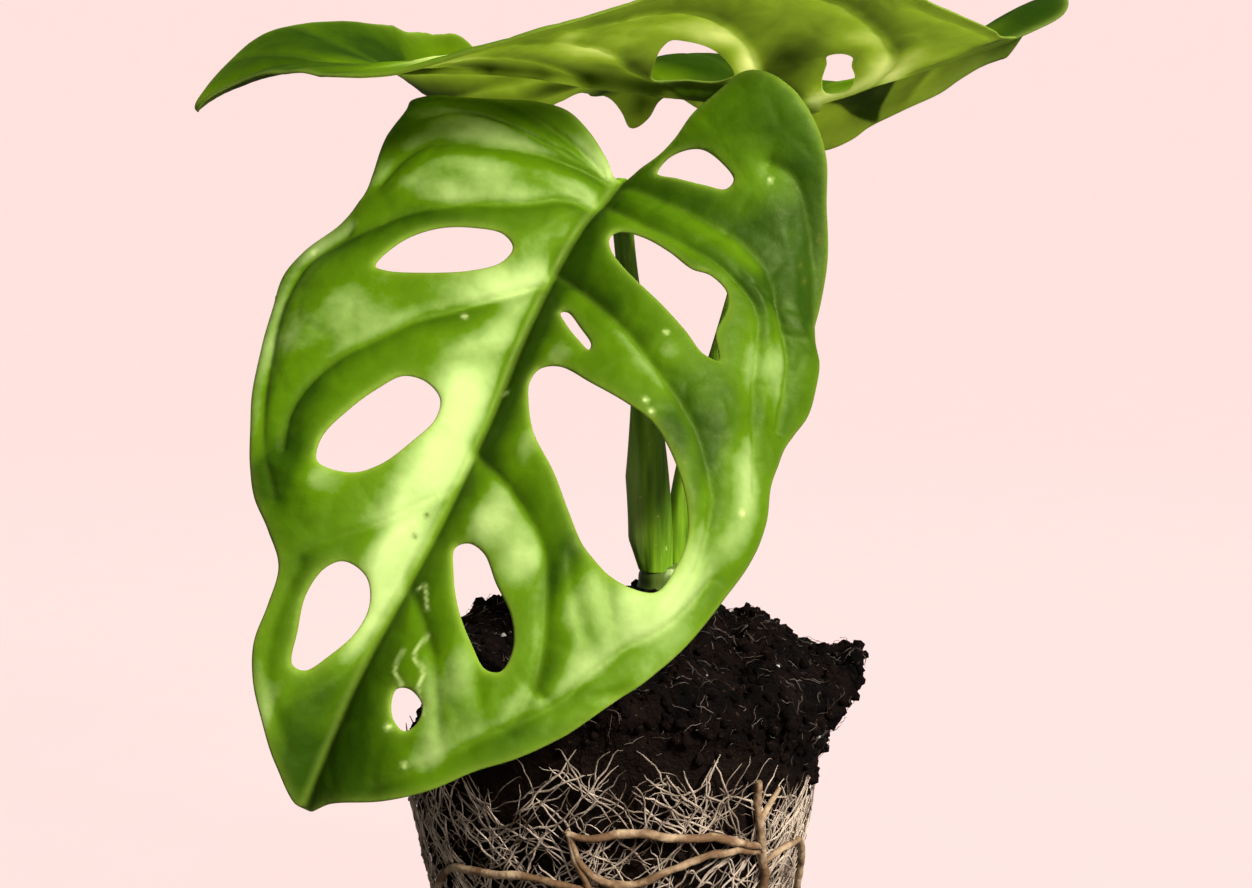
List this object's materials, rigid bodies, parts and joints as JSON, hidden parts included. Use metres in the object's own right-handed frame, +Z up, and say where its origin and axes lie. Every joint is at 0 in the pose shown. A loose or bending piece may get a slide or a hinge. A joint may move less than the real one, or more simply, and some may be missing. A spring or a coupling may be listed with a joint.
{
  "type": "monstera adansonii with a bare root ball",
  "caption": "Young monstera adansonii with holed heart-shaped leaves on slim stalks, standing on its bare root ball of soil held by a net of roots.",
  "frame": {"origin": "middle of the root ball's flat underside", "axes": "+Z up along the root ball, -Y towards the front, where the large hanging leaf faces"},
  "size_m": [0.1409, 0.1059, 0.1621],
  "materials": {
    "soil": "matte near-black moist potting soil with fibres and a few pale grains",
    "fine_roots": "matte cream to grey-brown fine roots",
    "thick_roots": "satin tan aerial roots",
    "stem": "satin green stem",
    "stalk": "smooth satin green leaf stalk, darker on its shaded side",
    "leaf": "glossy fresh green with sunken darker veins and paler raised fields between them"
  },
  "bodies": {
    "root": {"soil": "soil", "root_net": "fine_roots", "thick_roots": "thick_roots", "stem": "stem", "front_stalk": "stalk", "back_stalk": "stalk", "front_blade": "leaf", "back_blade": "leaf"}
  },
  "joints": []
}
